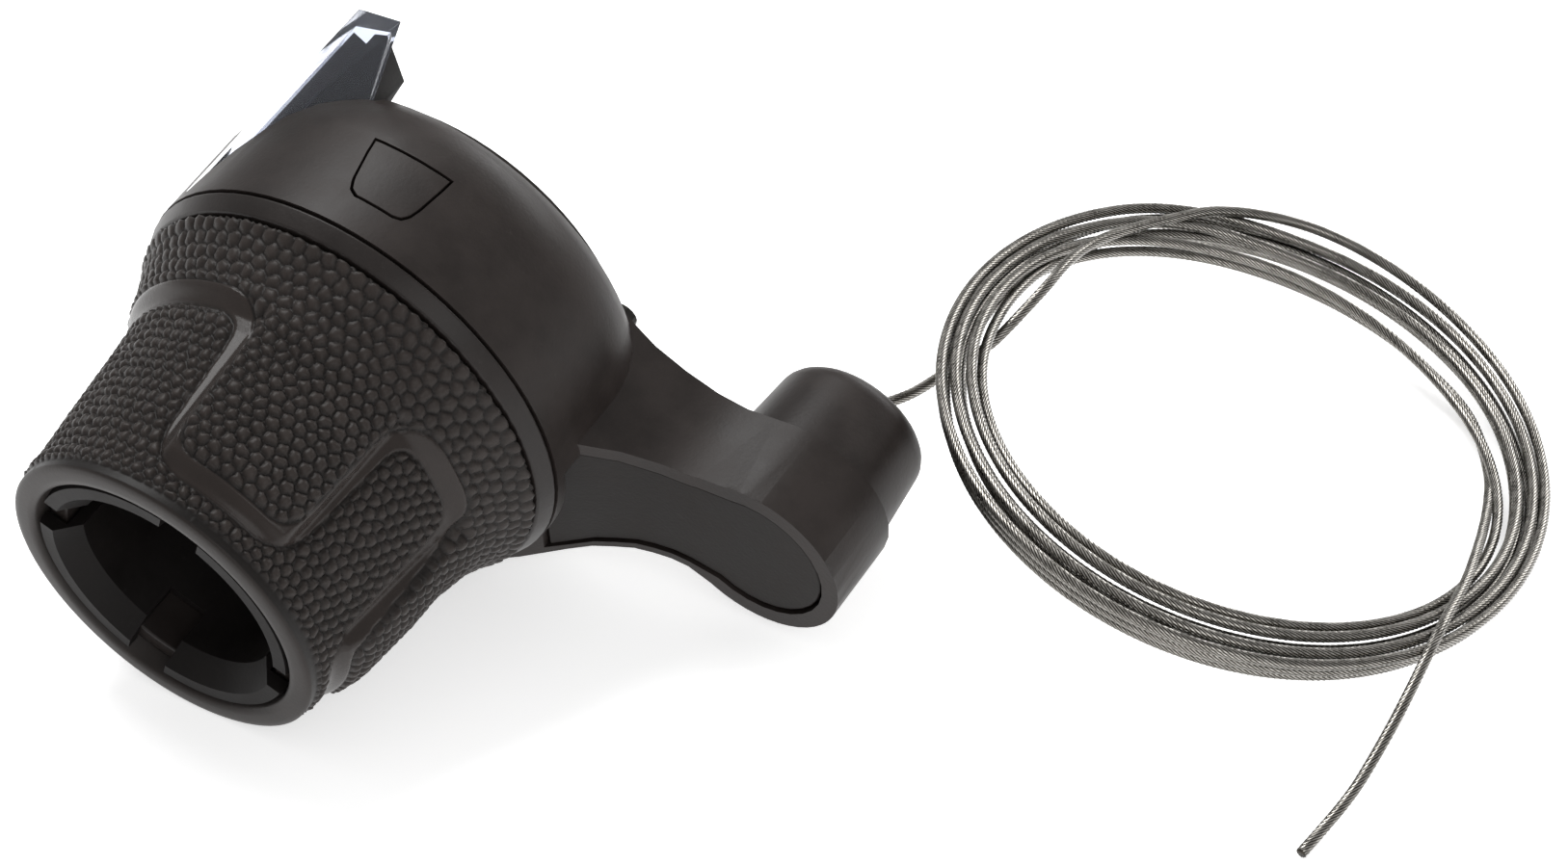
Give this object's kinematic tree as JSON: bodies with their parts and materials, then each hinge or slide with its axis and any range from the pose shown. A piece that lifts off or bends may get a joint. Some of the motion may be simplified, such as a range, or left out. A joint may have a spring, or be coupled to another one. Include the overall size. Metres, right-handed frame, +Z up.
{
  "type": "twist-grip gear shifter",
  "caption": "Twist-grip bicycle gear shifter with a rubber grip, clear gear window, cable arm with a guide pulley, and its inner wire coiled beside it.",
  "frame": {"origin": "centre of the shifter's own box on the surface it lies on, without the free cable", "axes": "+Z up from the surface; the handlebar axis runs along +Y, rising 12.6 degrees from the grip's mouth to the clamp; the cable arm points to +X"},
  "size_m": [0.1315, 0.1327, 0.0574],
  "materials": {
    "grip_rubber": "matte moulded rubber with a fine pebble texture",
    "seal_rubber": "soft black lip seal",
    "black_plastic": "black nylon with a satin moulded face",
    "inner_plastic": "plain black moulded plastic",
    "white_plastic": "natural white acetal",
    "clear_plastic": "clear polished cover",
    "orange_plastic": "bright pointer",
    "steel": "plain zinc-plated steel",
    "cable_steel": "bare stranded steel wire"
  },
  "bodies": {
    "housing": {"main_housing": "black_plastic", "inner_sleeve": "inner_plastic", "rear_plate": "black_plastic", "rear_screw_1": "steel", "rear_screw_2": "steel", "rear_screw_3": "steel", "clamp_band": "steel", "clamp_bolt": "steel", "clamp_nut": "steel", "dust_seal": "seal_rubber", "window_cover": "clear_plastic", "dial_plate": "inner_plastic", "detent_spring": "steel", "arm_cover": "black_plastic", "pulley_axle": "steel", "casing_stop": "steel", "cable_run": "cable_steel", "cable_strand": "cable_steel", "cable_coil": "cable_steel", "cable_tail": "cable_steel"},
    "grip": {"grip_rubber": "grip_rubber", "grip_core": "black_plastic", "cable_drum": "white_plastic", "index_ring": "steel", "indicator_cam": "white_plastic", "cable_nipple": "steel", "cable_wrap": "cable_steel"},
    "indicator": {"indicator_needle": "orange_plastic"},
    "pulley": {"guide_pulley": "white_plastic"},
    "detent": {"detent_plunger": "steel"},
    "hatch": {"cable_hatch": "black_plastic"}
  },
  "joints": [
    {"name": "grip_twist", "type": "hinge", "parent": "housing", "child": "grip", "pos_m": [-0.01309, -0.03064, 0.01763], "axis": [0, 0.9758, 0.2186], "range_deg": [0, 60]},
    {"name": "indicator_slide", "type": "slide", "parent": "housing", "child": "indicator", "axis": [0, 0.9758, 0.2186], "range_m": [0, 0.009]},
    {"name": "pulley_turn", "type": "hinge", "parent": "housing", "child": "pulley", "pos_m": [0.02419, 0.01962, 0.01286], "axis": [-0.0313, -0.2185, 0.9753], "range_deg": [-252.1, 0]},
    {"name": "detent_click", "type": "slide", "parent": "housing", "child": "detent", "axis": [0, 0.2186, -0.9758], "range_m": [0, 0.0009], "stiffness_N_per_m": 600, "deforming": ["detent_spring"]},
    {"name": "hatch_lift", "type": "slide", "parent": "housing", "child": "hatch", "axis": [0.225, -0.213, 0.9508], "range_m": [0, 0.008]}
  ],
  "couplings": [
    {"joint": "indicator_slide", "follows": "grip_twist", "m_per_rad": 0.008594},
    {"joint": "pulley_turn", "follows": "grip_twist", "ratio": -4.2}
  ]
}
